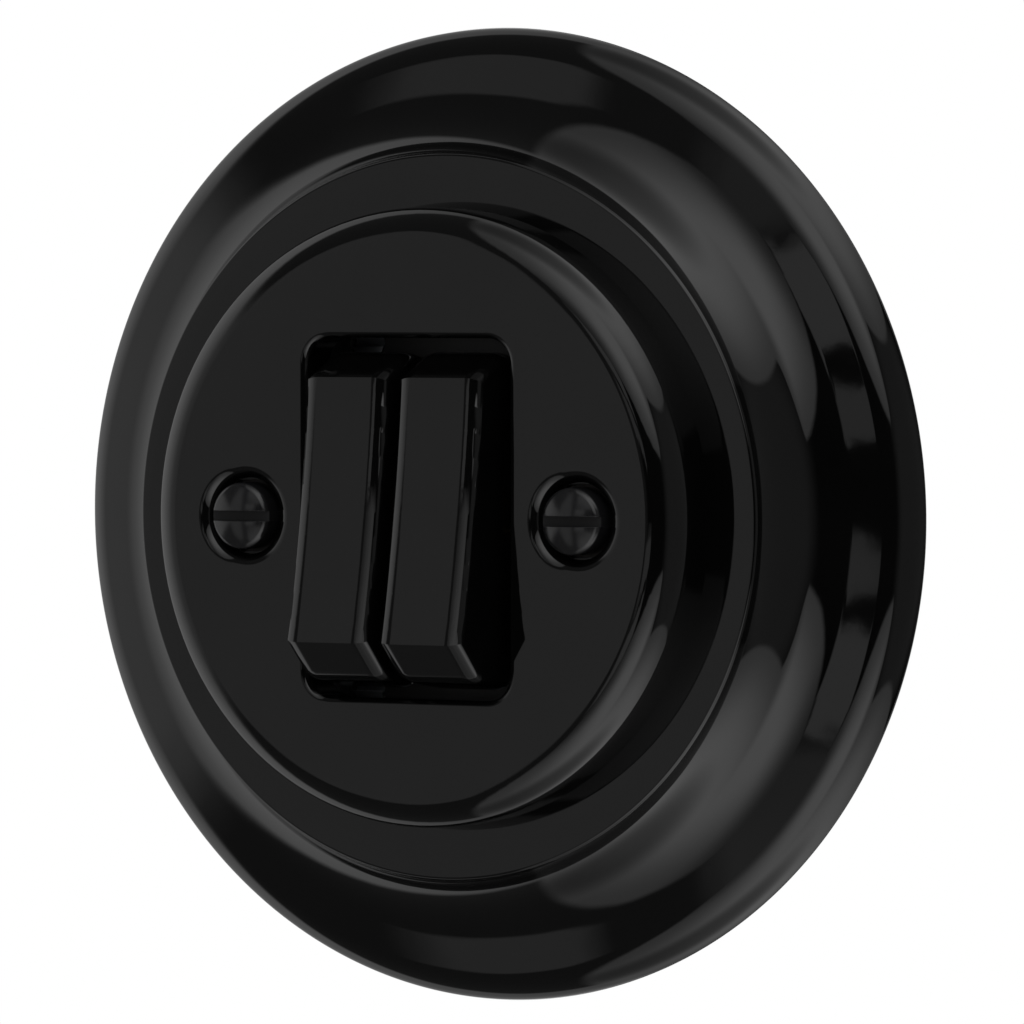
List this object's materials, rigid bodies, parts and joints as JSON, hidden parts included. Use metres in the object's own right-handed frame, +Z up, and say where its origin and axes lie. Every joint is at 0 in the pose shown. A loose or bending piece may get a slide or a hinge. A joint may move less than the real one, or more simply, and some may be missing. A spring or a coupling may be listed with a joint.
{
  "type": "double light switch",
  "caption": "Round black glazed porcelain light switch with side-by-side rockers, stepped surround and flush-mounted mechanism.",
  "frame": {"origin": "on the wall plane, midway between the two wall-box screws, on the axis of the round surround", "axes": "+Z up, front faces -Y, +Y points into the wall, +X to the right for the user"},
  "size_m": [0.105, 0.0497, 0.105],
  "materials": {
    "porcelain": "glossy black glaze",
    "rocker": "glossy black glaze",
    "black_screws": "glossy black lacquer on brass",
    "fibre": "black vulcanised fibre",
    "plated_steel": "bright zinc plating",
    "bright_steel": "ground or drawn steel",
    "brass": "plain machined and stamped brass",
    "silver": "silver contact face",
    "black_moulding": "fine-grained thermoset",
    "grey_moulding": "fine-grained thermoset"
  },
  "bodies": {
    "root": {"wall_frame": "porcelain", "cover_plate": "porcelain", "cover_screws": "black_screws", "screw_washers": "fibre", "support_plate": "plated_steel", "threaded_pillars": "brass", "pivot_housing": "black_moulding", "pivot_pins": "bright_steel", "housing_screws": "plated_steel", "mechanism_base": "grey_moulding", "fixed_contacts": "silver", "terminal_screws": "plated_steel", "left_upper_terminal": "brass", "left_lower_terminal": "brass", "left_common_terminal": "brass", "right_upper_terminal": "brass", "right_lower_terminal": "brass", "right_common_terminal": "brass"},
    "left_rocker": {"left_rocker": "rocker", "left_rocker_carrier": "black_moulding", "left_plunger_spring": "bright_steel"},
    "left_plunger": {"left_plunger": "brass"},
    "left_lever": {"left_contact_lever": "brass", "left_lever_contacts": "silver"},
    "right_rocker": {"right_rocker": "rocker", "right_rocker_carrier": "black_moulding", "right_plunger_spring": "bright_steel"},
    "right_plunger": {"right_plunger": "brass"},
    "right_lever": {"right_contact_lever": "brass", "right_lever_contacts": "silver"}
  },
  "joints": [
    {"name": "left_rocker_tilt", "type": "hinge", "parent": "root", "child": "left_rocker", "pos_m": [-0.00585, -0.01797, 0], "axis": [1, 0, 0], "range_deg": [0, 16.6]},
    {"name": "left_plunger_slide", "type": "slide", "parent": "left_rocker", "child": "left_plunger", "axis": [0, -0.9895, 0.1444], "range_m": [0, 0.0012], "stiffness_N_per_m": 250, "springref_m": -0.002, "deforming": ["left_plunger_spring"]},
    {"name": "left_lever_rock", "type": "hinge", "parent": "root", "child": "left_lever", "pos_m": [-0.00585, 0.00303, 0], "axis": [1, 0, 0], "range_deg": [-12, 0]},
    {"name": "right_rocker_tilt", "type": "hinge", "parent": "root", "child": "right_rocker", "pos_m": [0.00585, -0.01797, 0], "axis": [1, 0, 0], "range_deg": [0, 16.6]},
    {"name": "right_plunger_slide", "type": "slide", "parent": "right_rocker", "child": "right_plunger", "axis": [0, -0.9895, 0.1444], "range_m": [0, 0.0012], "stiffness_N_per_m": 250, "springref_m": -0.002, "deforming": ["right_plunger_spring"]},
    {"name": "right_lever_rock", "type": "hinge", "parent": "root", "child": "right_lever", "pos_m": [0.00585, 0.00303, 0], "axis": [1, 0, 0], "range_deg": [-12, 0]}
  ],
  "couplings": [
    {"joint": "left_lever_rock", "follows": "left_rocker_tilt", "ratio": -0.72},
    {"joint": "right_lever_rock", "follows": "right_rocker_tilt", "ratio": -0.72}
  ]
}
